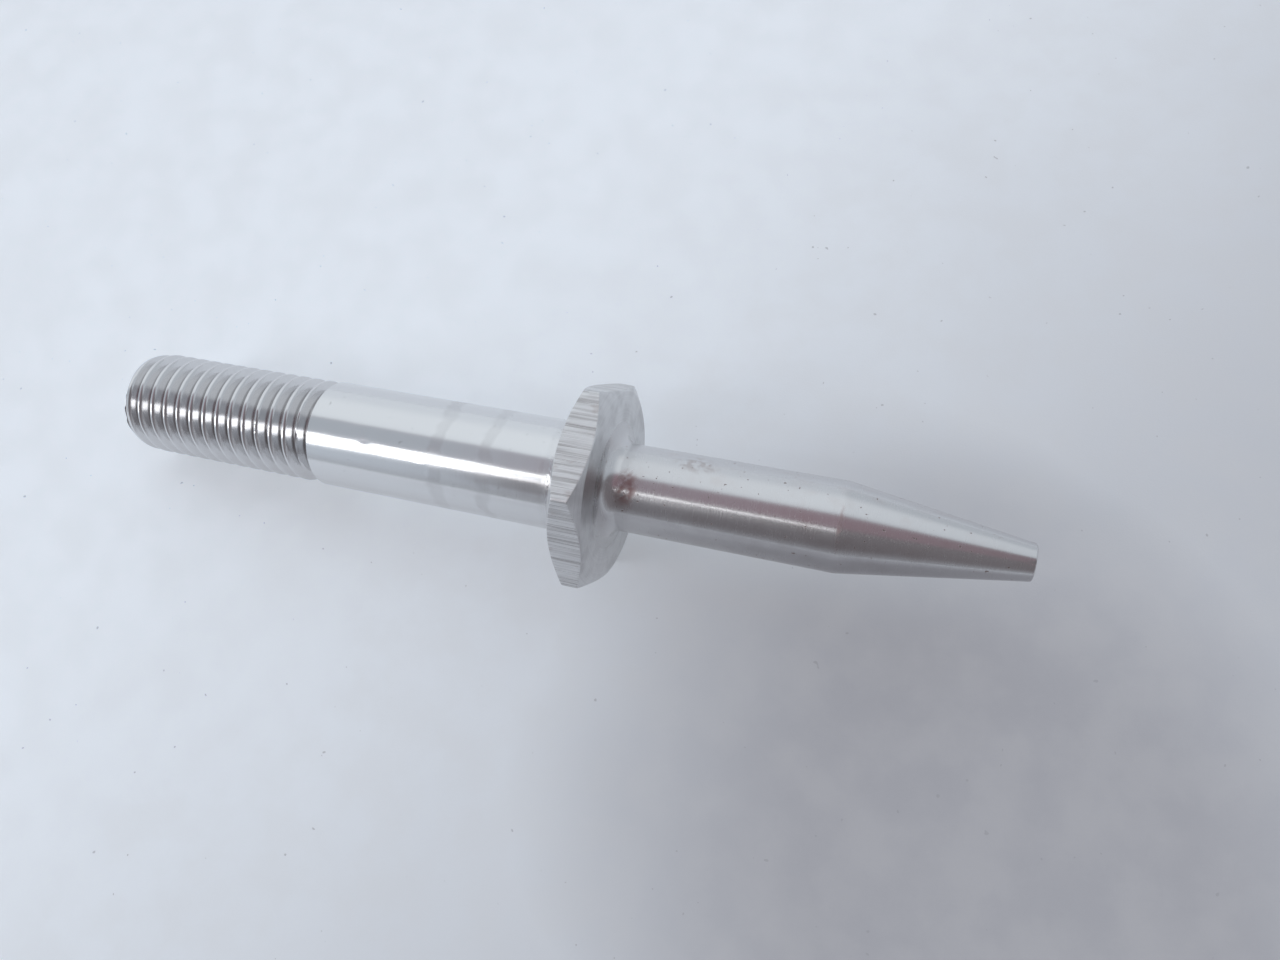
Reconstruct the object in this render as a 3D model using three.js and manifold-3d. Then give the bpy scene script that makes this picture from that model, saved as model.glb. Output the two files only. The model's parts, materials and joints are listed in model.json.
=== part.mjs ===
// A threaded center stud, turned from one length of hexagonal bar: a threaded tail, a plain
// shank, a thin hexagonal collar, and a pin nose that tapers to a small flat tip.
// Millimetres. The axis is X: the origin is the centre of the tail's flat end face, and the
// nose points along +X. One flat of the collar faces straight up (+Z), one straight down.

import * as THREE from "three";
import { mergeVertices } from "three/addons/utils/BufferGeometryUtils.js";
import Module from "manifold-3d";

// Lengths along the axis
const TAIL_LENGTH = 47; // threaded end face to the collar's seat
const THREAD_LENGTH = 21.6; // threaded end face to the shoulder where the plain shank starts
const COLLAR_THICKNESS = 3;
const PIN_LENGTH = 20; // collar to the start of the taper
const TAPER_LENGTH = 15;

// Diameters and widths
const SHANK_DIAMETER = 10; // also the thread's nominal diameter, M10
const COLLAR_ACROSS_FLATS = 17;
const PIN_DIAMETER = 7.8;
const TIP_DIAMETER = 3.1;

// Thread, metric coarse with 60 degree flanks, right-handed
const THREAD_PITCH = 1.5;
const CREST_ALLOWANCE = 0.15; // the blank is turned this much under nominal before threading
const FLANK_ANGLE = Math.PI / 6; // half of the thread angle
const GROOVE_END_ANGLE = (5 * Math.PI) / 6; // where the helix closes, from straight down to +Y
const END_ROUND_LENGTH = 2.4; // rounded lead at the threaded end, along the axis
const END_ROUND_DEPTH = 0.72; // and how far it drops below the crest

// Fillets and edges
const SHANK_FILLET = 0.7; // shank to collar seat
const PIN_FILLET = 1.4; // pin to collar front
const TIP_EDGE_RADIUS = 0.15;
const CHAMFER_ANGLE = Math.PI / 6; // collar corners, both sides, from the face
const CHAMFER_CIRCLE_INSET = 0.1; // the chamfer's circle lies this far inside the flats

// Mesh fineness
const SEGMENTS = 36; // facets around every turned surface and in each turn of the thread
const ARC_STEPS = 6; // steps in each fillet and rounded edge

const wasm = await Module();
wasm.setup();

const shankRadius = SHANK_DIAMETER / 2;
const pinRadius = PIN_DIAMETER / 2;
const tipRadius = TIP_DIAMETER / 2;
const crestRadius = shankRadius - CREST_ALLOWANCE / 2;
const seatX = TAIL_LENGTH;
const collarFrontX = seatX + COLLAR_THICKNESS;
const taperX = collarFrontX + PIN_LENGTH;
const tipX = taperX + TAPER_LENGTH;

// A closed geometry as a manifold solid: its vertices are merged by position alone.
function solid(geometry) {
  const bare = geometry.clone();
  bare.deleteAttribute("normal");
  bare.deleteAttribute("uv");
  const merged = mergeVertices(bare, 1e-5);
  return new wasm.Manifold(
    new wasm.Mesh({
      numProp: 3,
      vertProperties: merged.attributes.position.array,
      triVerts: new Uint32Array(merged.index.array),
    }),
  );
}

// A manifold solid back as a three.js geometry, flat-shaded.
function geometryOf(body) {
  const mesh = body.getMesh();
  const indexed = new THREE.BufferGeometry();
  indexed.setAttribute("position", new THREE.BufferAttribute(mesh.vertProperties, 3));
  indexed.setIndex(new THREE.BufferAttribute(mesh.triVerts, 1));
  const flat = indexed.toNonIndexed();
  flat.computeVertexNormals();
  return flat;
}

// Points of an elliptical quarter arc from the angle `from` to `to`, both ends included.
function arc(centreX, centreR, sizeX, sizeR, from, to) {
  return Array.from({ length: ARC_STEPS + 1 }, (_, i) => {
    const angle = from + ((to - from) * i) / ARC_STEPS;
    return [centreX + sizeX * Math.cos(angle), centreR + sizeR * Math.sin(angle)];
  });
}

// Turns a profile of [x, radius] points about X. It runs along +X from axis to axis, or closes.
function turned(profile) {
  const points = profile.map(([x, r]) => new THREE.Vector2(r, x));
  const geometry = new THREE.LatheGeometry(points, SEGMENTS);
  return solid(geometry.rotateZ(-Math.PI / 2));
}

// Everything turned, before threading: tail, shank, a core inside the collar, pin and taper.
function turnedBlank() {
  const endFaceRadius = crestRadius - END_ROUND_DEPTH;
  const seatFilletRadius = shankRadius + SHANK_FILLET;
  const frontFilletRadius = pinRadius + PIN_FILLET;
  const tipCornerRadius = tipRadius - TIP_EDGE_RADIUS;
  return turned([
    [0, 0],
    ...arc(END_ROUND_LENGTH, endFaceRadius, END_ROUND_LENGTH, END_ROUND_DEPTH, Math.PI, Math.PI / 2),
    [THREAD_LENGTH - CREST_ALLOWANCE / 2, crestRadius],
    [THREAD_LENGTH, shankRadius],
    ...arc(seatX - SHANK_FILLET, seatFilletRadius, SHANK_FILLET, SHANK_FILLET, -Math.PI / 2, 0),
    ...arc(collarFrontX + PIN_FILLET, frontFilletRadius, PIN_FILLET, PIN_FILLET, -Math.PI, -Math.PI / 2),
    [taperX, pinRadius],
    ...arc(tipX - TIP_EDGE_RADIUS, tipCornerRadius, TIP_EDGE_RADIUS, TIP_EDGE_RADIUS, Math.PI / 2, 0),
    [tipX, 0],
  ]);
}

// The collar: a slice of hexagonal bar whose corners are turned back by a cone on each side.
function hexCollar() {
  const cornerRadius = COLLAR_ACROSS_FLATS / 2 / Math.cos(Math.PI / 6);
  const corners = Array.from({ length: 6 }, (_, i) => {
    const angle = Math.PI / 2 + (i * Math.PI) / 3;
    return new THREE.Vector2(cornerRadius * Math.cos(angle), cornerRadius * Math.sin(angle));
  });
  const slice = new THREE.ExtrudeGeometry(new THREE.Shape(corners), {
    depth: COLLAR_THICKNESS,
    bevelEnabled: false,
  });
  slice.rotateY(Math.PI / 2).translate(seatX, 0, 0);

  const circleRadius = COLLAR_ACROSS_FLATS / 2 - CHAMFER_CIRCLE_INSET;
  const reach = COLLAR_THICKNESS / 2; // the two cones would meet at mid thickness
  const rimRadius = circleRadius + reach / Math.tan(CHAMFER_ANGLE);
  const cones = turned([
    [seatX, 0],
    [seatX, circleRadius],
    [seatX + reach, rimRadius],
    [collarFrontX, circleRadius],
    [collarFrontX, 0],
  ]);
  return solid(slice).intersect(cones);
}

// Section of the thread's groove at a centre x: [x, radius] corners, floor first.
function grooveSection(centreX) {
  const nominalHalf = (THREAD_PITCH * 7) / 16; // half the groove's width at the nominal diameter
  const floorHalf = THREAD_PITCH / 12;
  const floorRadius = shankRadius - (nominalHalf - floorHalf) / Math.tan(FLANK_ANGLE);
  const outerRadius = shankRadius + THREAD_PITCH / 10;
  const outerHalf = floorHalf + (outerRadius - floorRadius) * Math.tan(FLANK_ANGLE);
  return [
    [centreX - floorHalf, floorRadius],
    [centreX + floorHalf, floorRadius],
    [centreX + outerHalf, outerRadius],
    [centreX - outerHalf, outerRadius],
  ];
}

// The thread's groove: a helical bar that starts a turn before the end face and closes into a
// ring at the shoulder, where the tool stood still for the last turn.
function threadGroove() {
  const ringX = THREAD_LENGTH - (THREAD_PITCH * 7) / 16;
  const steps = Math.ceil((ringX / THREAD_PITCH + 1) * SEGMENTS);

  const positions = [];
  for (let i = 0; i <= steps; i += 1) {
    const back = steps - i;
    const angle = GROOVE_END_ANGLE - (2 * Math.PI * back) / SEGMENTS;
    for (const [x, r] of grooveSection(ringX - (THREAD_PITCH * back) / SEGMENTS)) {
      positions.push(x, r * Math.sin(angle), -r * Math.cos(angle));
    }
  }

  const triangles = [];
  const quad = (a, b, c, d) => triangles.push(a, b, c, a, c, d);
  for (let i = 0; i < steps; i += 1) {
    for (let side = 0; side < 4; side += 1) {
      const a = 4 * i + side;
      const b = 4 * i + ((side + 1) % 4);
      quad(a, b, b + 4, a + 4);
    }
  }
  quad(3, 2, 1, 0);
  const last = 4 * steps;
  quad(last, last + 1, last + 2, last + 3);

  const helix = new THREE.BufferGeometry();
  helix.setAttribute("position", new THREE.Float32BufferAttribute(positions, 3));
  helix.setIndex(triangles);
  const section = grooveSection(ringX);
  const ring = turned([...section, section[0]].reverse());
  return solid(helix).add(ring);
}

function centerStud() {
  const body = turnedBlank().add(hexCollar()).subtract(threadGroove());
  const steel = new THREE.MeshStandardMaterial({ color: 0xc8c9cb, roughness: 0.3, metalness: 1 });
  const mesh = new THREE.Mesh(geometryOf(body), steel);
  mesh.name = "center_stud";
  return mesh;
}

const stud = new THREE.Group();
stud.add(centerStud());

export default stud;
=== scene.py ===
# %% [markdown]
# # A threaded center stud
#
# The real object is one piece of hexagonal steel bar, turned on a lathe: a threaded tail, a plain
# shank, a thin collar where the bar keeps its hexagon, and a pin nose with a long taper. Nothing on
# it moves, so the whole scene is one closed mesh, one sheet of paper under it and the light.
#
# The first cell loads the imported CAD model. It is the fixed frame: its axis is X, the nose points
# along +X, one collar flat faces straight up, and the origin is the middle of the tail's end face.

# %% Load the frame
import json
import math
import bpy
import bmesh
import numpy as np
from mathutils import Matrix, Vector

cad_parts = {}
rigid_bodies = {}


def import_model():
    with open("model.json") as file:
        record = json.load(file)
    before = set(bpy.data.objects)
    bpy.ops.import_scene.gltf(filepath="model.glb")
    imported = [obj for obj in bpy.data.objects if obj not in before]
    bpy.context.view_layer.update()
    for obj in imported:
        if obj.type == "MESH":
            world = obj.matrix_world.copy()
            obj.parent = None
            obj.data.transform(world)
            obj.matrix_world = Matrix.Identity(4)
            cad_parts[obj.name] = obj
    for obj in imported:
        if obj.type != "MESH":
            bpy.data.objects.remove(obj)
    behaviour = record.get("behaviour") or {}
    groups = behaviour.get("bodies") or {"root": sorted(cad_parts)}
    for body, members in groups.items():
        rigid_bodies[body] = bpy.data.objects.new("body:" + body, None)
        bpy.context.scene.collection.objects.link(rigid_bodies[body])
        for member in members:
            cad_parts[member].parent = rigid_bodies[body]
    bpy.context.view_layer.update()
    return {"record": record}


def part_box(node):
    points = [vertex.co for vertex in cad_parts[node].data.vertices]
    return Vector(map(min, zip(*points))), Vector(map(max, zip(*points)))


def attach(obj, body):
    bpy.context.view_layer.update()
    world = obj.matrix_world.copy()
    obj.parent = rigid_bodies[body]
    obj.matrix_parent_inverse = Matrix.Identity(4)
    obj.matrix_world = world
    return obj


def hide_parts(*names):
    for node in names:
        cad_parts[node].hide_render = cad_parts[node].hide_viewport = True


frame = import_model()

# %% [markdown]
# ## Sizes
#
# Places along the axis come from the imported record: its mounts name the collar's two faces and the
# nose's tip, and the node's box gives the width across the collar's flats. The other sizes are the
# turner's drawing, written once, in millimetres, the unit that such a part is drawn in.

# %% Sizes of the stud
MM = 0.001


def mount_x(name):
    """Where a named flat face of the stud lies along the axis, in metres."""
    mounts = frame["record"]["mounts"]
    return next(mount["pos_m"][0] for mount in mounts if mount["name"] == name)


seat_x = mount_x("collar_seat")
collar_front_x = mount_x("collar_front")
tip_x = mount_x("nose_tip")
half_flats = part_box("center_stud")[1].z

thread_length = 21.6 * MM
thread_pitch = 1.5 * MM
shank_radius = 5.0 * MM
crest_radius = 4.925 * MM
pin_radius = 3.9 * MM
tip_radius = 1.55 * MM
taper_x = collar_front_x + 20.0 * MM
chamfer_circle = half_flats - 0.1 * MM
print("collar", seat_x, "to", collar_front_x, "tip", tip_x, "half flats", round(half_flats, 5))

# %% [markdown]
# ## The camera
#
# A camera is easiest to set as a person would hold it: the point it looks at, how far away it is,
# how far round the object and how high it stands, and how much it is tilted to one side. Azimuth 0
# looks along +Y. The three directions of its matrix are built from those angles, and the roll turns
# the picture about the line of sight.

# %% Camera
camera_aim = Vector((52.08, 0.88, 0.0)) * MM
camera_distance = 81.97 * MM
camera_azimuth = math.radians(40.92)
camera_elevation = math.radians(66.19)
camera_roll = math.radians(28.07)
camera_lens = 26.1

away = Vector((
    math.sin(camera_azimuth) * math.cos(camera_elevation),
    -math.cos(camera_azimuth) * math.cos(camera_elevation),
    math.sin(camera_elevation),
))
level_right = (-away).cross(Vector((0, 0, 1))).normalized()
level_up = level_right.cross(-away)
tilted_up = math.cos(camera_roll) * level_up + math.sin(camera_roll) * level_right
tilted_right = (-away).cross(tilted_up)

camera_data = bpy.data.cameras.new("bench_camera")
camera_data.lens = camera_lens
camera_data.sensor_width = 36
camera_data.clip_start = 0.005
camera = bpy.data.objects.new("bench_camera", camera_data)
bpy.context.scene.collection.objects.link(camera)
turn = Matrix((tilted_right, tilted_up, away)).transposed().to_4x4()
camera.matrix_world = Matrix.Translation(camera_aim + away * camera_distance) @ turn
bpy.context.scene.camera = camera
bpy.context.scene.view_settings.view_transform = "Standard"
print("camera at", [round(1000 * v, 1) for v in camera.location], "mm")

# %% [markdown]
# ## Arithmetic with nodes
#
# Node trees are wires between boxes. A formula of ten terms is hard to read as ten boxes, so this
# small class lets the script write the formula as arithmetic, and each operation adds its Math
# node. Geometry trees and shader trees share the same Math node, so one class serves both.

# %% A wire that can be calculated with
class Wire:
    """A number that runs through a node tree."""

    def __init__(self, tree, socket):
        self.tree = tree
        self.socket = socket

    def math(self, operation, *others):
        node = self.tree.nodes.new("ShaderNodeMath")
        node.operation = operation
        for slot, value in zip(node.inputs, (self, *others)):
            if isinstance(value, Wire):
                self.tree.links.new(value.socket, slot)
            else:
                slot.default_value = value
        return Wire(self.tree, node.outputs[0])

    def __add__(self, other):
        return self.math("ADD", other)

    def __sub__(self, other):
        return self.math("SUBTRACT", other)

    def __mul__(self, other):
        return self.math("MULTIPLY", other)

    def __truediv__(self, other):
        return self.math("DIVIDE", other)

    def __rsub__(self, other):
        return (self * -1.0).math("ADD", other)

    __radd__ = __add__
    __rmul__ = __mul__

    def rise(self, low, high):
        """Goes smoothly from 0 at low to 1 at high."""
        node = self.tree.nodes.new("ShaderNodeMapRange")
        node.interpolation_type = "SMOOTHSTEP"
        self.tree.links.new(self.socket, node.inputs["Value"])
        node.inputs["From Min"].default_value = low
        node.inputs["From Max"].default_value = high
        return Wire(self.tree, node.outputs["Result"])

    def band(self, low, high, soft):
        """Is 1 between low and high, and fades to 0 over soft on both sides."""
        return self.rise(low - soft, low) * (1.0 - self.rise(high, high + soft))


def soft_least(a, b, softness):
    """The smaller of two wires, with the corner where they cross rounded."""
    gap = a - b
    return ((a + b) - (gap * gap + softness * softness).math("SQRT")) * 0.5


def soft_most(a, b, softness):
    """The larger of two wires, with the corner where they cross rounded."""
    gap = a - b
    return ((a + b) + (gap * gap + softness * softness).math("SQRT")) * 0.5


# %% [markdown]
# ## Columns around the axis
#
# The tail, the shank, the collar and the nose are one skin, so they share one set of columns around
# the axis. An even spacing would cut the collar's six corners off, or waste faces everywhere else.
# The angle therefore swings a little ahead and behind six times a turn, and the columns crowd at
# the corners. Angles are measured from straight down towards +Y.

# %% Column angles
COLUMNS = 180
CROWDING = 0.75

even = np.arange(COLUMNS) * 2 * math.pi / COLUMNS
angles = even + CROWDING / 6 * np.sin(6 * even)
steps = np.degrees(np.diff(angles))
print("columns:", COLUMNS, "spacing from", steps.min().round(2), "to", steps.max().round(2), "degrees")

# %% [markdown]
# ## The threaded tail
#
# A thread is a rule, not a drawing: at each point the metal stands either at the blank's surface or
# on the nearest flank of the groove, whichever is lower. A screw modifier could sweep a tooth along
# a helix, but the tooth would then have to be stitched to the end face and the shoulder. Here a flat
# grid is rolled up instead. Its rows are slanted by one pitch a turn, so they run along the crests
# and the roots, and the last column meets the first one, a pitch further on.
#
# The groove is cut by a tool that stops at the shoulder for one last turn, so the helix closes into
# a ring there. Rows that slide off the tail's end are gathered on its flat face, and rows past the
# shoulder are gathered at its edge. Merge by Distance then closes the seam and the face's centre.

# %% Node tree of the thread
groove_half_width = 7 / 16 * thread_pitch
THREAD_SIZES = {
    "Pitch": thread_pitch,
    "Length": thread_length,
    "Crest radius": crest_radius,
    "Root radius": 4.08 * MM,
    "Groove half width": groove_half_width,
    "Flank lean": math.radians(27.5),
    "Shank radius": shank_radius,
    "Ring centre": thread_length - groove_half_width,
    "Helix end angle": math.radians(150),
    "End round length": 2.4 * MM,
    "End round depth": 0.72 * MM,
    "Face depth": 0.6 * MM,
    "Crest softness": 0.015 * MM,
    "Root softness": 0.03 * MM,
}
ROWS_PER_PITCH = 20
WELD = 0.002 * MM


def thread_tree(finish):
    """Builds the tree that rolls a flat grid into the threaded tail."""
    tree = bpy.data.node_groups.new("threaded_tail", "GeometryNodeTree")
    tree.interface.new_socket("Geometry", in_out="OUTPUT", socket_type="NodeSocketGeometry")
    for name in THREAD_SIZES:
        tree.interface.new_socket(name, in_out="INPUT", socket_type="NodeSocketFloat")
    sizes_in = tree.nodes.new("NodeGroupInput")
    size = {name: Wire(tree, sizes_in.outputs[name]) for name in THREAD_SIZES}
    pitch, length = size["Pitch"], size["Length"]

    flat_length = length + pitch + size["Face depth"]
    grid = tree.nodes.new("GeometryNodeMeshGrid")
    tree.links.new(flat_length.socket, grid.inputs["Size X"])
    grid.inputs["Size Y"].default_value = 2 * math.pi
    grid.inputs["Vertices Y"].default_value = COLUMNS + 1
    rows = flat_length / pitch * ROWS_PER_PITCH + 1
    tree.links.new(rows.math("ROUND").socket, grid.inputs["Vertices X"])

    place = tree.nodes.new("GeometryNodeInputPosition")
    apart = tree.nodes.new("ShaderNodeSeparateXYZ")
    tree.links.new(place.outputs[0], apart.inputs[0])
    turn = Wire(tree, apart.outputs["Y"]) + math.pi
    angle = turn + (turn * 6).math("SINE") * (CROWDING / 6)
    start = flat_length * 0.5 - size["Face depth"] - pitch
    along = Wire(tree, apart.outputs["X"]) + start + pitch * angle / (2 * math.pi)

    x = along.math("MAXIMUM", 0.0).math("MINIMUM", length)
    behind = ((size["Helix end angle"] - angle) / (2 * math.pi)).math("FRACT")
    turns_back = (size["Ring centre"] - x) / pitch - behind
    nearest = turns_back.math("ROUND").math("MAXIMUM", 0.0)
    from_helix = (turns_back - nearest).math("ABSOLUTE") * pitch
    from_ring = (x - size["Ring centre"]).math("ABSOLUTE")
    from_edge = from_helix.math("MINIMUM", from_ring) - size["Groove half width"]
    flank = size["Shank radius"] + from_edge / size["Flank lean"].math("TANGENT")
    groove = soft_most(size["Root radius"], flank, size["Root softness"])

    short = (1.0 - x / size["End round length"]).math("MAXIMUM", 0.0)
    drop = 1.0 - (1.0 - short * short).math("SQRT")
    blank = size["Crest radius"] - size["End round depth"] * drop
    threaded = soft_least(groove, blank, size["Crest softness"])
    past_shoulder = along.math("GREATER_THAN", length - WELD / 2)
    outer = threaded + (size["Shank radius"] - threaded) * past_shoulder
    shrink = (along / size["Face depth"] + 1.0).math("MAXIMUM", 0.0).math("MINIMUM", 1.0)
    radius = outer * shrink

    rolled = tree.nodes.new("ShaderNodeCombineXYZ")
    tree.links.new(x.socket, rolled.inputs["X"])
    tree.links.new((radius * angle.math("SINE")).socket, rolled.inputs["Y"])
    tree.links.new((radius * angle.math("COSINE") * -1.0).socket, rolled.inputs["Z"])
    roll_up = tree.nodes.new("GeometryNodeSetPosition")
    tree.links.new(grid.outputs["Mesh"], roll_up.inputs["Geometry"])
    tree.links.new(rolled.outputs[0], roll_up.inputs["Position"])

    weld = tree.nodes.new("GeometryNodeMergeByDistance")
    weld.inputs["Distance"].default_value = WELD
    real = tree.nodes.new("GeometryNodeRealizeInstances")
    paint = tree.nodes.new("GeometryNodeSetMaterial")
    paint.inputs["Material"].default_value = finish
    result = tree.nodes.new("NodeGroupOutput")
    tree.links.new(roll_up.outputs[0], weld.inputs["Geometry"])
    tree.links.new(weld.outputs[0], real.inputs["Geometry"])
    tree.links.new(real.outputs[0], paint.inputs["Geometry"])
    tree.links.new(paint.outputs[0], result.inputs[0])
    return tree


# %% [markdown]
# ## Steel, finish by finish
#
# The whole stud is the same bright steel, and what differs is what last touched it: the threading
# tool, a fine turning cut, the drawing die that made the hexagonal bar, or a coarser cut on the
# nose. Every finish starts from the same metal shader. Its colour, roughness and bump come from
# noise read on Object coordinates, squeezed in the direction in which the tool moved: a pattern that
# changes fast along X and hardly at all around the axis reads as turning marks.
#
# Turned metal also stretches its highlights across the tool marks. The shader's anisotropy does
# that, and its tangent is the direction of the stretch: along the axis on a turned cylinder, around
# it on a drawn flat.

# %% A start for every steel finish
class Finish:
    """A material under construction, metal to begin with, with Object coordinates as wires."""

    def __init__(self, name, roughness, anisotropy):
        self.material = bpy.data.materials.new(name)
        self.material.use_nodes = True
        self.tree = self.material.node_tree
        self.shader = self.tree.nodes["Principled BSDF"]
        self.shader.inputs["Metallic"].default_value = 1.0
        self.shader.inputs["Roughness"].default_value = roughness
        self.shader.inputs["Anisotropic"].default_value = anisotropy
        self.place = self.tree.nodes.new("ShaderNodeTexCoord").outputs["Object"]
        apart = self.node("ShaderNodeSeparateXYZ", {0: self.place})
        self.x, self.y, self.z = (Wire(self.tree, socket) for socket in apart.outputs)
        self.radius = (self.y * self.y + self.z * self.z).math("SQRT")

    def node(self, kind, inputs, **settings):
        """Adds a node. Inputs are numbers, colours, sockets or wires, by name or index."""
        made = self.tree.nodes.new(kind)
        for key, value in settings.items():
            setattr(made, key, value)
        for key, value in inputs.items():
            if isinstance(value, Wire):
                value = value.socket
            if isinstance(value, bpy.types.NodeSocket):
                self.tree.links.new(value, made.inputs[key])
            else:
                made.inputs[key].default_value = value
        return made

    def grain(self, x, y, z, detail=2.0, rough=0.5):
        """Noise from 0 to 1 with its own number of features per millimetre in each direction."""
        per_metre = self.node("ShaderNodeVectorMath", {0: self.place}, operation="MULTIPLY")
        per_metre.inputs[1].default_value = (x / MM, y / MM, z / MM)
        settings = {"Vector": per_metre.outputs[0], "Scale": 1.0, "Detail": detail, "Roughness": rough}
        return Wire(self.tree, self.node("ShaderNodeTexNoise", settings).outputs[0])

    def rings(self, per_mm, detail=3.0):
        """Noise from 0 to 1 that changes only with the distance from the axis."""
        level = self.radius * (per_mm / MM)
        settings = {"W": level, "Scale": 1.0, "Detail": detail}
        made = self.node("ShaderNodeTexNoise", settings, noise_dimensions="1D")
        return Wire(self.tree, made.outputs[0])

    def spot(self, place, along, across):
        """Is 1 at a place on the upper side and fades to 0 at its reach along and across the axis."""
        from_x = (self.x - place.x) / along
        from_y = (self.y - place.y) / across
        apart = (from_x * from_x + from_y * from_y).math("SQRT")
        return (1.0 - apart.rise(0.3, 1.0)) * self.z.rise(0.0, MM)

    def mix(self, amount, first, second):
        """A colour that goes from first to second as the wire goes from 0 to 1."""
        made = self.node("ShaderNodeMix", {0: amount, 6: first, 7: second}, data_type="RGBA")
        return made.outputs[2]

    def wear(self, colour, roughness, height, depth):
        """Sends colour, roughness and relief to the shader, with the relief's depth in metres."""
        self.tree.links.new(colour, self.shader.inputs["Base Color"])
        self.tree.links.new(roughness.socket, self.shader.inputs["Roughness"])
        bump = self.node("ShaderNodeBump", {"Height": height, "Distance": depth, "Strength": 1.0})
        self.tree.links.new(bump.outputs[0], self.shader.inputs["Normal"])

    def stretch_along_axis(self):
        axis = self.node("ShaderNodeCombineXYZ", {0: 1.0, 1: 0.0, 2: 0.0})
        self.tree.links.new(axis.outputs[0], self.shader.inputs["Tangent"])

    def stretch_around_axis(self):
        facing = self.tree.nodes.new("ShaderNodeNewGeometry").outputs["Normal"]
        around = self.node("ShaderNodeVectorMath", {0: facing}, operation="CROSS_PRODUCT")
        around.inputs[1].default_value = (1.0, 0.0, 0.0)
        self.tree.links.new(around.outputs[0], self.shader.inputs["Tangent"])

    def stretch_from_centre(self):
        outward = self.node("ShaderNodeCombineXYZ", {0: 0.0, 1: self.y, 2: self.z})
        self.tree.links.new(outward.outputs[0], self.shader.inputs["Tangent"])


BRIGHT_STEEL = (0.71, 0.71, 0.715, 1.0)
CUT_STEEL = (0.67, 0.665, 0.67, 1.0)
DULL_STEEL = (0.56, 0.555, 0.56, 1.0)
SATIN_STEEL = (0.62, 0.615, 0.62, 1.0)
RUST_BROWN = (0.36, 0.30, 0.28, 1.0)
ROOT_DARK_GREY = (0.30, 0.29, 0.29, 1.0)
WARM_STEEL = (0.56, 0.51, 0.50, 1.0)
LINE_SHADE = (0.44, 0.43, 0.43, 1.0)
PAINTED_GREY_SHADE = (0.42, 0.405, 0.41, 1.0)
PAINTED_BROWN_SHADE = (0.45, 0.42, 0.41, 1.0)
ROOT_BROWN = (0.34, 0.19, 0.18, 1.0)
PIT_BROWN = (0.24, 0.18, 0.16, 1.0)

# %% [markdown]
# ### Thread, shank and collar finishes
#
# The thread is cut, so its crests are bright and its colour is darker in its roots. The shank has a
# fine turned surface with a few ragged stains that run round it, a painted brownish shade in a narrow
# band low on one side, and chatter marks where the tool slowed down at the collar. The flats were
# never machined: they keep the long straight lines of the drawing die. The collar's faces and
# chamfers were faced, so their marks are circles about the axis.

# %% Finishes of the thread, the shank and the collar
ROOT_DARK_LEVEL = (4.10 * MM, 4.30 * MM)


def cut_thread_steel():
    finish = Finish("cut_thread_steel", 0.12, 0.35)
    finish.stretch_along_axis()
    tool = finish.grain(14, 0.35, 0.35)
    smear = finish.grain(0.9, 0.8, 0.8, 4)
    # The colour is darker in the thread's roots, below a set radius.
    in_root = 1.0 - finish.radius.rise(*ROOT_DARK_LEVEL)
    darkening = in_root * (0.35 + smear)
    colour = finish.mix(darkening.math("MINIMUM", 0.7), CUT_STEEL, ROOT_DARK_GREY)
    finish.wear(colour, 0.12 + smear * 0.10 + darkening * 0.12, tool + smear * 0.6, 0.003 * MM)
    return finish.material


SHADE_BAND_X = (34 * MM, 44 * MM)
SHADE_BAND_SIDE = (2.6 * MM, 3.1 * MM, 0.4 * MM)
CHATTER_X = (44.9 * MM, 46.0 * MM)
STAIN_BANDS = [
    # start and width in millimetres, and strength
    (34.2, 0.8, 0.50),
    (39.2, 0.6, 0.40),
    (45.0, 1.0, 0.20),
]


def turned_shank_steel():
    finish = Finish("turned_shank_steel", 0.16, 0.45)
    finish.stretch_along_axis()
    tool = finish.grain(16, 0.12, 0.12)
    smear = finish.grain(0.35, 0.5, 0.5, 4)
    ragged_x = finish.x + (smear - 0.5) * (2.0 * MM)
    stains = ragged_x * 0.0
    for place, width, strength in STAIN_BANDS:
        stains = stains + ragged_x.band(place * MM, (place + width) * MM, 0.5 * MM) * strength
    stain = stains * (0.1 + smear * 1.5)
    specks = finish.grain(2.2, 2.2, 2.2, 1).rise(0.735, 0.76)
    colour = finish.mix((stain + specks * 0.7).math("MINIMUM", 1.0), BRIGHT_STEEL, DULL_STEEL)
    # Painted shade: a narrow brownish band on one side near the collar darkens the steel's colour.
    painted_side_shade = (finish.y * -1.0).band(*SHADE_BAND_SIDE) * finish.x.rise(*SHADE_BAND_X)
    colour = finish.mix(painted_side_shade * finish.z.rise(0.0, MM) * 0.6, colour, PAINTED_BROWN_SHADE)
    chatter = finish.grain(4, 4, 4, 1) * finish.x.rise(*CHATTER_X)
    waves = finish.grain(0.30, 0.30, 0.30, 1)
    relief = tool + smear * 0.5 + chatter * 12.0 + waves * 9.0
    finish.wear(colour, 0.13 + smear * 0.09 + stain * 0.16, relief, 0.0026 * MM)
    return finish.material


def drawn_flat_steel():
    finish = Finish("drawn_flat_steel", 0.30, 0.6)
    finish.stretch_around_axis()
    lines = finish.grain(0.05, 9, 9, 4, 0.7)
    coarse = finish.grain(0.12, 3.2, 3.2, 3, 0.6)
    rust = finish.grain(0.5, 0.9, 0.9, 3).rise(0.60, 0.74)
    drawn = lines * 0.6 + coarse * 0.4
    colour = finish.mix(drawn.rise(0.40, 0.57), LINE_SHADE, BRIGHT_STEEL)
    colour = finish.mix(rust * 0.35, colour, RUST_BROWN)
    finish.wear(colour, 0.20 + lines * 0.18, drawn, 0.055 * MM)
    return finish.material


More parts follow.
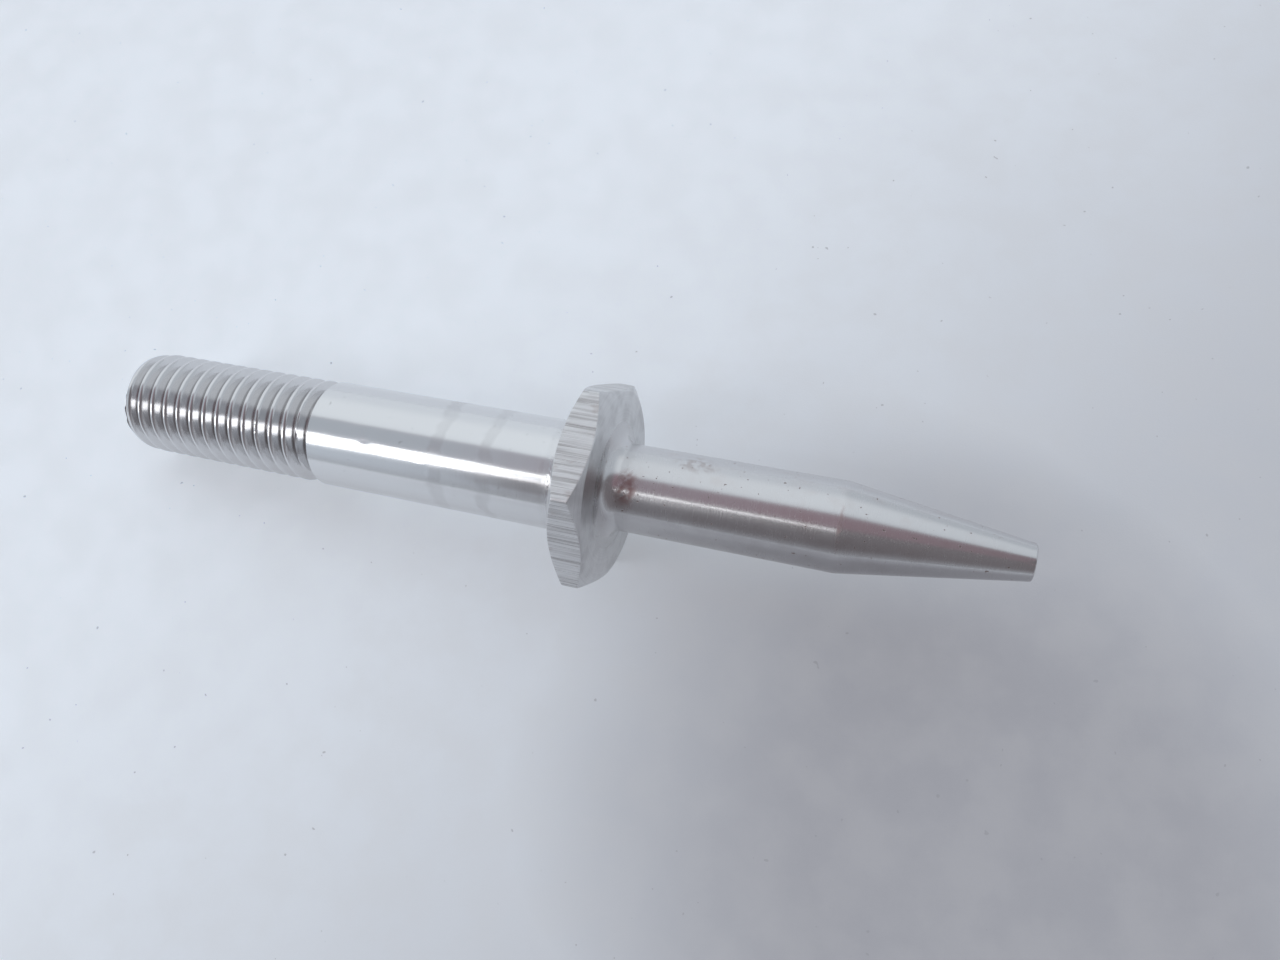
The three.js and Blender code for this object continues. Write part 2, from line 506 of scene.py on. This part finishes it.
def faced_collar_steel():
    finish = Finish("faced_collar_steel", 0.24, 0.5)
    finish.stretch_from_centre()
    tool = finish.rings(8)
    smear = finish.grain(0.6, 0.6, 0.6, 4)
    colour = finish.mix(smear.rise(0.40, 0.70) * 0.7 + tool.rise(0.4, 0.6) * 0.25, BRIGHT_STEEL, DULL_STEEL)
    finish.wear(colour, 0.29 + smear * 0.12, tool + smear * 0.4, 0.009 * MM)
    return finish.material


# %% [markdown]
# ### Nose and end faces
#
# The nose was turned with a coarser feed and rubbed by every workpiece it has held, so it is satin:
# the marks are fine and broken, and the light runs along it as one long thin line. Small dark pits
# are scattered over it, brown dirt sits at its root and where the taper starts, and one side carries
# a painted shade of darker grey. Each of those is a mask, a number from 0 to 1, that mixes one more
# colour in.

# %% Finishes of the nose and the end faces
SMUDGE = Vector((57.5, 2.0, 3.3)) * MM
ROOT_DIRT = Vector((52.1, -1.3, 3.8)) * MM
TAPER_DIRT = Vector((70.0, -1.2, 3.7)) * MM


def satin_nose_steel():
    finish = Finish("satin_nose_steel", 0.26, 0.6)
    finish.stretch_along_axis()
    tool = finish.grain(9, 0.9, 0.9, 4, 0.7)
    smear = finish.grain(0.5, 0.7, 0.7, 4)
    patchy = finish.grain(1.8, 1.8, 1.8, 3)
    pits = finish.grain(3.2, 3.2, 3.2, 1).rise(0.735, 0.765)
    on_taper = finish.spot(TAPER_DIRT, 0.3 * MM, 2.2 * MM) * 0.6
    darkening = (finish.spot(ROOT_DIRT, 1.3 * MM, 2.0 * MM) + on_taper) * patchy.rise(0.30, 0.62)
    smudge = finish.spot(SMUDGE, 2.4 * MM, 1.2 * MM)
    colour = finish.mix(smear.rise(0.5, 0.75) * 0.3, SATIN_STEEL, WARM_STEEL)
    # Painted shade: one side of the nose is darkened towards grey.
    painted_side_shade = (finish.y * -1.0).rise(0.6 * MM, 3.2 * MM) * (0.3 + smear * 0.6)
    painted_side_shade = painted_side_shade * finish.x.rise(collar_front_x + 0.4 * MM, collar_front_x + 2.4 * MM)
    colour = finish.mix(painted_side_shade, colour, PAINTED_GREY_SHADE)
    colour = finish.mix(darkening * 0.75, colour, ROOT_BROWN)
    colour = finish.mix(smudge * patchy.rise(0.40, 0.60) * 0.45, colour, RUST_BROWN)
    colour = finish.mix(pits * 0.8, colour, PIT_BROWN)
    relief = tool + smear * 0.4 - pits * 1.5
    finish.wear(colour, 0.17 + tool * 0.16 + pits * 0.2 + darkening * 0.2, relief, 0.004 * MM)
    return finish.material


def faced_end_steel():
    finish = Finish("faced_end_steel", 0.28, 0.5)
    finish.stretch_from_centre()
    tool = finish.rings(6)
    smear = finish.grain(0.8, 0.8, 0.8, 4)
    colour = finish.mix(smear.rise(0.4, 0.7) * 0.6, BRIGHT_STEEL, DULL_STEEL)
    finish.wear(colour, 0.22 + smear * 0.12, tool + smear * 0.3, 0.008 * MM)
    return finish.material


finishes = {
    "thread": cut_thread_steel(),
    "shank": turned_shank_steel(),
    "flats": drawn_flat_steel(),
    "collar": faced_collar_steel(),
    "nose": satin_nose_steel(),
    "ends": faced_end_steel(),
}
print("finishes:", sorted(finishes))

# %% [markdown]
# ### Running the thread's tree
#
# A modifier's inputs are set by the sockets' identifiers, which the interface gives, before the
# object is looked at for the first time. The evaluated result is then copied into a plain mesh, and
# the object that carried the modifier is thrown away.

# %% Threaded tail as a plain mesh
def evaluated_mesh(name, tree, values):
    """Runs a geometry tree with these input values and returns the plain mesh it makes."""
    holder = bpy.data.objects.new(name, bpy.data.meshes.new(name))
    bpy.context.scene.collection.objects.link(holder)
    modifier = holder.modifiers.new(name, "NODES")
    modifier.node_group = tree
    for item in tree.interface.items_tree:
        if item.in_out == "INPUT":
            modifier[item.identifier] = values[item.name]
    depsgraph = bpy.context.evaluated_depsgraph_get()
    mesh = bpy.data.meshes.new_from_object(holder.evaluated_get(depsgraph))
    holder.modifiers.clear()
    bpy.data.objects.remove(holder)
    return mesh


tail_mesh = evaluated_mesh("threaded_tail", thread_tree(finishes["thread"]), THREAD_SIZES)
print("threaded tail:", len(tail_mesh.vertices), "vertices,", len(tail_mesh.polygons), "faces")

# %% [markdown]
# ## Shank, collar and nose
#
# The rest is turned, so it is a list of rings from the thread's shoulder to the tip. A ring holds
# one place along the axis and one radius for each column. On the shank and the nose both are the
# same all round. On the collar they are not: the hexagon's half width grows towards its corners,
# and the chamfer, which is a cone, sets the edge back where the hexagon reaches further out.

# %% Rings of the turned body
def ring(x, radius):
    """One ring: its place along the axis and its radius, at every column."""
    return np.stack([np.broadcast_to(x, angles.shape), np.broadcast_to(radius, angles.shape)])


def straight(first, last, count):
    """Rings from first to last in equal steps, without the first."""
    return [first + (last - first) * i / count for i in range(1, count + 1)]


def arc(centre_x, centre_r, size, start, end, count):
    """Rings along an arc of a fillet or a rounded edge, without its start. Angles in degrees."""
    turns = np.radians(np.linspace(start, end, count + 1))[1:]
    return [ring(centre_x + size * np.cos(t), centre_r + size * np.sin(t)) for t in turns]


SHANK_FILLET = 0.7 * MM
PIN_FILLET = 1.4 * MM
TIP_EDGE = 0.15 * MM
TIP_FAN = 0.2 * MM
CORNER_LOSS = 0.05 * MM
CORNER_ROUND = 0.03 * MM
CHAMFER_ANGLE = math.radians(30)


def hexagon():
    """The hexagonal bar's half width at each column, with its corners slightly rounded."""
    from_flat = np.mod(angles + math.pi / 6, math.pi / 3) - math.pi / 6
    sharp = half_flats / np.cos(from_flat)
    limit = half_flats / math.cos(math.pi / 6) - CORNER_LOSS
    gap = sharp - limit
    return (sharp + limit - np.sqrt(gap * gap + CORNER_ROUND**2)) / 2


hexagon_edge = hexagon()
set_back = (hexagon_edge - chamfer_circle) * math.tan(CHAMFER_ANGLE)

rings = [ring(thread_length, shank_radius)]
corners = {}


def extend(more, corner_reach=0.0):
    """Adds rings, and notes the last one as a corner to soften if a reach is given."""
    rings.extend(more)
    if corner_reach:
        corners[len(rings) - 1] = corner_reach


extend(straight(rings[-1], ring(seat_x - SHANK_FILLET, shank_radius), 60))
extend(arc(seat_x - SHANK_FILLET, shank_radius + SHANK_FILLET, SHANK_FILLET, -90, 0, 8))
extend(straight(rings[-1], ring(seat_x, chamfer_circle), 8), 0.03 * MM)
extend(straight(rings[-1], ring(seat_x + set_back, hexagon_edge), 5), 0.04 * MM)
extend(straight(rings[-1], ring(collar_front_x - set_back, hexagon_edge), 10), 0.04 * MM)
extend(straight(rings[-1], ring(collar_front_x, chamfer_circle), 5), 0.03 * MM)
extend(straight(rings[-1], ring(collar_front_x, pin_radius + PIN_FILLET), 8))
extend(arc(collar_front_x + PIN_FILLET, pin_radius + PIN_FILLET, PIN_FILLET, -180, -90, 12))
extend(straight(rings[-1], ring(taper_x, pin_radius), 40), 0.25 * MM)
extend(straight(rings[-1], ring(tip_x - TIP_EDGE, tip_radius), 36))
extend(arc(tip_x - TIP_EDGE, tip_radius - TIP_EDGE, TIP_EDGE, 90, 0, 5))
extend(straight(rings[-1], ring(tip_x, TIP_FAN), 6))
print("rings:", len(rings), "corners to soften:", len(corners))

# %% [markdown]
# A sharp edge on a real part still catches a thin line of light, because it was broken with a file.
# So each noted corner is replaced by three rings on a small curve, the same distance from the corner
# on both sides, in every column. Where the next ring is very near, the curve takes less.

# %% Soften the noted corners
def softened(rings, corners):
    """The rings with each corner replaced by a small three-point curve."""
    result = []
    for index, here in enumerate(rings):
        reach = corners.get(index)
        if reach is None:
            result.append(here)
            continue
        before = rings[index - 1] - here
        after = rings[index + 1] - here
        entering = here + before * np.minimum(reach / np.hypot(*before), 0.45)
        leaving = here + after * np.minimum(reach / np.hypot(*after), 0.45)
        result += [entering, (entering + 2 * here + leaving) / 4, leaving]
    return result


rings = softened(rings, corners)


def skin_points():
    """All ring points in space, ring after ring, and the centre of the tip."""
    points = [
        np.stack([x, radius * np.sin(angles), -radius * np.cos(angles)], axis=1) for x, radius in rings
    ]
    return np.concatenate(points + [np.array([[tip_x, 0.0, 0.0]])])


def skin_faces():
    """Four-sided faces between neighbouring rings, and a fan at the tip."""
    faces = []
    for row in range(len(rings) - 1):
        for column in range(COLUMNS):
            a = row * COLUMNS + column
            b = row * COLUMNS + (column + 1) % COLUMNS
            faces.append((a, b, b + COLUMNS, a + COLUMNS))
    last, centre = (len(rings) - 1) * COLUMNS, len(rings) * COLUMNS
    faces += [(last + c, last + (c + 1) % COLUMNS, centre) for c in range(COLUMNS)]
    return faces


body_mesh = bpy.data.meshes.new("turned_body")
body_mesh.from_pydata([tuple(point) for point in skin_points()], [], skin_faces())
print("turned body:", len(body_mesh.vertices), "vertices,", len(body_mesh.polygons), "faces")

# %% [markdown]
# ## One closed skin
#
# The tail ends in the same ring of points as the body starts with, so joining them is a weld. A weld
# that missed would leave open edges, which the cell counts. The sign of the volume then says
# whether the faces point outwards.

# %% Weld the tail to the body
joined = bmesh.new()
joined.from_mesh(tail_mesh)
joined.from_mesh(body_mesh)
bmesh.ops.remove_doubles(joined, verts=joined.verts, dist=WELD)
bmesh.ops.dissolve_degenerate(joined, dist=WELD / 4, edges=joined.edges)
bmesh.ops.recalc_face_normals(joined, faces=joined.faces)
if joined.calc_volume(signed=True) < 0:
    bmesh.ops.reverse_faces(joined, faces=joined.faces)
open_edges = sum(1 for edge in joined.edges if len(edge.link_faces) != 2)
print("open edges:", open_edges, "volume in mm3:", round(joined.calc_volume() / MM**3, 1))

# %% [markdown]
# ## Small marks of use
#
# A stud that has been in a toolbox has dents on its corners and thrown-up burrs beside them. Moving
# the points near a chosen spot along the direction from the axis makes both: inwards for a dent,
# outwards for a burr. The depths are a few hundredths of a millimetre, or a tenth on the corners.
# One thread crest carries a longer burr, so its marks follow the helix.

# %% Dents, burrs and a slightly uneven surface
def around(x, angle, radius):
    """A point in space from its place along the axis, its angle from straight up and its radius."""
    turned = math.radians(angle)
    return Vector((x * MM, radius * MM * math.sin(turned), radius * MM * math.cos(turned)))


MARKS = [
    # where, reach and depth in millimetres (a burr has a negative depth)
    (around(47.9, 30, 9.6), 0.35, 0.10),
    (around(49.9, -30, 9.5), 0.30, -0.07),
    (around(47.3, -31, 9.2), 0.30, 0.12),
    (around(49.3, 90, 9.7), 0.40, 0.14),
    (around(27.6, -20, 5.0), 0.35, 0.05),
    (around(27.9, -13, 5.0), 0.30, 0.03),
    (around(32.0, -28, 5.0), 0.25, 0.04),
    (around(33.2, -30, 5.0), 0.20, 0.03),
    (around(13.2, -20, 4.9), 0.16, 0.06),
    (around(84.9, -20, 1.5), 0.15, 0.05),
    (around(84.9, 60, 1.5), 0.20, 0.06),
]
BURR_ANGLES = range(-6, -42, -4)
BURR_X = 15.82
MARK_FADE = 1.5
MARK_END = 2.5
for burr_angle in BURR_ANGLES:
    on_crest = BURR_X - burr_angle / 360 * thread_pitch / MM
    MARKS.append((around(on_crest, burr_angle, 4.9), 0.20, -0.10))
for spot, reach, depth in MARKS:
    for vertex in joined.verts:
        away_from_spot = (vertex.co - spot).length / (reach * MM)
        if away_from_spot < MARK_END:
            outward = Vector((0, vertex.co.y, vertex.co.z)).normalized()
            vertex.co -= outward * depth * MM * math.exp(-away_from_spot**2 * MARK_FADE)
print("marks made:", len(MARKS))

# %% [markdown]
# ## Sharing out the finishes
#
# Which finish a face has follows from where it is and which way it faces, so the rule is written
# once for all faces. Edges that turn by more than 32 degrees stay sharp in the shading, and the
# rest are smooth.

# %% Finish of every face
END_FACE = 0.01 * MM
SHARP_TURN = math.radians(32)


def finish_of(face):
    """The finish's name for a face of the stud."""
    centre = face.calc_center_median()
    from_axis = math.hypot(centre.y, centre.z)
    if centre.x < END_FACE or centre.x > tip_x - END_FACE:
        return "ends"
    if centre.x < thread_length:
        return "thread"
    on_collar = seat_x - END_FACE < centre.x < collar_front_x + END_FACE
    if on_collar and from_axis > shank_radius + SHANK_FILLET:
        return "collar" if abs(face.normal.x) > 0.3 else "flats"
    return "shank" if centre.x < collar_front_x - 1.0 * MM else "nose"


names = list(finishes)
for face in joined.faces:
    face.material_index = names.index(finish_of(face))
    face.smooth = True
triangles = sum(len(face.verts) - 2 for face in joined.faces)

stud_mesh = bpy.data.meshes.new("turned_stud")
for name in names:
    stud_mesh.materials.append(finishes[name])
joined.to_mesh(stud_mesh)
joined.free()
stud_mesh.set_sharp_from_angle(angle=SHARP_TURN)
stud = bpy.data.objects.new("turned_stud", stud_mesh)
bpy.context.scene.collection.objects.link(stud)
print("turned stud:", triangles, "triangles")

# %% [markdown]
# ## The paper it lies on
#
# The stud lies on its thread and on the lower flat of its collar. The collar is wider, so the axis
# isn't level: the nose points up by four and a half degrees. The model's frame follows the axis, so
# here the paper is tilted instead. Two touching points give the tilt: the thread's crest near its
# rounded end, and the edge of the flat on the seat side.
#
# The paper is pale and plain. Its colour carries a painted shade: it is lighter under the tail than
# round the nose, where its colour is mixed darker by the distance from the middle of that painted
# shade. A weaker painted shade covers the side beyond the nose, and both fade out far away. Noise in
# a few sizes stands for its fibres and its clouding, and a few specks lie on it. It also glows a
# little, a painted light like that of brightened paper, which keeps the stud's own shadow faint. It
# is staging, so it isn't part of the stud.

# %% Paper
touch_tail = Vector((2.2 * MM, 0, -crest_radius))
touch_collar = Vector((seat_x + 0.06 * MM, 0, -half_flats))
down_slope = (touch_collar - touch_tail).normalized()
paper_normal = down_slope.cross(Vector((0, 1, 0)))
paper_normal *= 1 if paper_normal.z > 0 else -1
print("paper tilt:", round(math.degrees(math.asin(-down_slope.z)), 2), "degrees")

PAPER_REACH = 3.0
PAPER_GAP = 0.005 * MM
PAINTED_PAPER_GLOW = 0.45
PAPER_LIT = (0.69, 0.735, 0.78, 1.0)
PAPER_SHADED = (0.315, 0.32, 0.345, 1.0)
FIBRE_GREY = (0.50, 0.50, 0.50, 1.0)
SPECK_GREY = (0.25, 0.25, 0.27, 1.0)
SHADE_CENTRE = Vector((88, -24, 0)) * MM
SHADE_EDGE = (14 * MM, 64 * MM)
FAR_EDGE = (90 * MM, 250 * MM)
DIM_SIDE = Vector((0.75, -0.50, 0.0))
DIM_SIDE_EDGE = (0.0, 95 * MM)
DIM_SIDE_DEPTH = 0.78
paper_mesh = bpy.data.meshes.new("paper")
side = Vector((0, 1, 0))
paper_middle = touch_collar - paper_normal * PAPER_GAP
paper_mesh.from_pydata(
    [paper_middle + down_slope * a * PAPER_REACH + side * b * PAPER_REACH
     for a, b in ((-1, -1), (1, -1), (1, 1), (-1, 1))],
    [], [(0, 1, 2, 3)],
)
paper = bpy.data.objects.new("paper", paper_mesh)
bpy.context.scene.collection.objects.link(paper)


def pale_paper():
    finish = Finish("pale_paper", 0.85, 0.0)
    finish.shader.inputs["Metallic"].default_value = 0.0
    finish.shader.inputs["Specular IOR Level"].default_value = 0.2
    fibres = finish.grain(6, 6, 6, 4)
    cloud = finish.grain(0.03, 0.03, 0.03, 2)
    drift = (cloud - 0.5) * 0.012
    across = finish.x - SHADE_CENTRE.x
    aside = finish.y - SHADE_CENTRE.y
    from_shade = (across * across + aside * aside).math("SQRT") + drift
    # Painted shade: the paper's colour darkens round a point beyond the nose.
    painted_hand_shade = 1.0 - from_shade.rise(*SHADE_EDGE)
    towards_side = finish.x * DIM_SIDE.x + finish.y * DIM_SIDE.y + drift
    # A weaker painted shade darkens the side beyond the nose.
    dim_side = towards_side.rise(*DIM_SIDE_EDGE) * DIM_SIDE_DEPTH
    shade = painted_hand_shade.math("MAXIMUM", dim_side) * (1.0 - from_shade.rise(*FAR_EDGE))
    mottle = finish.grain(0.22, 0.22, 0.22, 4)
    specks = finish.grain(1.5, 1.5, 1.5, 1).rise(0.79, 0.80)
    colour = finish.mix(shade, PAPER_LIT, PAPER_SHADED)
    colour = finish.mix(mottle.rise(0.3, 0.7) * 0.14 + fibres * 0.06, colour, FIBRE_GREY)
    colour = finish.mix(specks * 0.5, colour, SPECK_GREY)
    bump = finish.node("ShaderNodeBump", {"Height": fibres, "Distance": 0.01 * MM, "Strength": 1.0})
    finish.tree.links.new(colour, finish.shader.inputs["Base Color"])
    # Painted light: the paper glows with its own colour, so the stud's shadow on it stays faint.
    finish.tree.links.new(colour, finish.shader.inputs["Emission Color"])
    finish.shader.inputs["Emission Strength"].default_value = PAINTED_PAPER_GLOW
    finish.tree.links.new(bump.outputs[0], finish.shader.inputs["Normal"])
    return finish.material


paper_mesh.materials.append(pale_paper())

# %% [markdown]
# ## Light
#
# Bright steel shows nothing but its surroundings, so the light is made as a room rather than as
# lamps. The world is painted by direction: the roll around the stud's axis, from straight up
# towards +Y, and how far the direction leans along the axis. Each card is a soft-edged patch of
# that map, laid over a darker room, and a paler wall fades upwards from the horizon on the near
# side. One real area lamp stands for the window, because it also throws the soft shadow.

# %% The room as soft cards
ROOM = (0.21, 0.195, 0.21, 1.0)
WALL = (0.42, 0.44, 0.48, 1.0)
WALL_HEIGHT = 0.34
WALL_STRENGTH = 0.75
NEAR_SIDE = (-0.3, 0.0)
CARDS = [
    # colour, roll from and to with its fade in degrees, lean from and to with its fade
    ((0.60, 0.66, 0.74, 1), (-180, -20, 4), (-2.0, -0.50, 0.22)),
    ((0.60, 0.65, 0.71, 1), (16, 185, 10), (-2.0, 2.0, 0.1)),
    ((0.80, 0.86, 0.93, 1), (18, 170, 16), (-2.0, -0.25, 0.5)),
    ((0.90, 0.96, 1.02, 1), (22, 50, 22), (-2.0, 0.10, 0.6)),
    ((0.335, 0.243, 0.28, 1), (-19, 5, 8), (-0.6, 0.35, 0.15)),
    ((0.50, 0.55, 0.61, 1), (-19, 6, 8), (-2.0, -0.48, 0.30)),
    ((3.00, 3.05, 3.10, 1), (-29.5, -27.8, 1.3), (-0.42, -0.03, 0.05)),
]

world = bpy.data.worlds.new("soft_room")
bpy.context.scene.world = world
world.use_nodes = True
sky = world.node_tree
direction = sky.nodes.new("ShaderNodeSeparateXYZ")
sky.links.new(sky.nodes.new("ShaderNodeTexCoord").outputs["Generated"], direction.inputs[0])
lean, towards_y, up = (Wire(sky, socket) for socket in direction.outputs)
roll = towards_y.math("ARCTAN2", up) * (180 / math.pi)

painted = None
for colour, roll_window, lean_window in CARDS:
    card = sky.nodes.new("ShaderNodeMix")
    card.data_type = "RGBA"
    sky.links.new((roll.band(*roll_window) * lean.band(*lean_window)).socket, card.inputs[0])
    if painted is None:
        card.inputs[6].default_value = ROOM
    else:
        sky.links.new(painted, card.inputs[6])
    card.inputs[7].default_value = colour
    painted = card.outputs[2]
wall = sky.nodes.new("ShaderNodeMix")
wall.data_type = "RGBA"
low_down = 1.0 - up.rise(0.0, WALL_HEIGHT)
near_horizon = low_down * (1.0 - towards_y.rise(*NEAR_SIDE)) * WALL_STRENGTH
sky.links.new(near_horizon.socket, wall.inputs[0])
sky.links.new(painted, wall.inputs[6])
wall.inputs[7].default_value = WALL
sky.links.new(wall.outputs[2], sky.nodes["Background"].inputs["Color"])
print("cards in the room:", len(CARDS))

# %% The window
window_distance = 1.2
window_roll = math.radians(-39)
window_lean = -0.60
window_tilt = math.radians(20)
window_strength = 3.2
window_side = math.sqrt(1 - window_lean**2)
to_window = Vector((window_lean, window_side * math.sin(window_roll), window_side * math.cos(window_roll)))
along_stud = (Vector((1, 0, 0)) - to_window * to_window.x).normalized()

lamp_data = bpy.data.lights.new("window", "AREA")
lamp_data.shape = "RECTANGLE"
lamp_data.size = 0.62
lamp_data.size_y = 0.36
lamp_data.color = (0.97, 0.98, 1.0)
lamp_data.energy = window_strength * math.pi * lamp_data.size * lamp_data.size_y
window = bpy.data.objects.new("window", lamp_data)
facing = Matrix((along_stud, to_window.cross(along_stud), to_window)).transposed().to_4x4()
facing = Matrix.Rotation(window_tilt, 4, to_window) @ facing
window.matrix_world = Matrix.Translation(to_window * window_distance) @ facing
bpy.context.scene.collection.objects.link(window)
print("window power:", round(lamp_data.energy, 2), "W")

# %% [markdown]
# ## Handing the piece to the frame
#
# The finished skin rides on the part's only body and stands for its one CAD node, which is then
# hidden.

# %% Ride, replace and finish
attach(stud, "root")
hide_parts("center_stud")
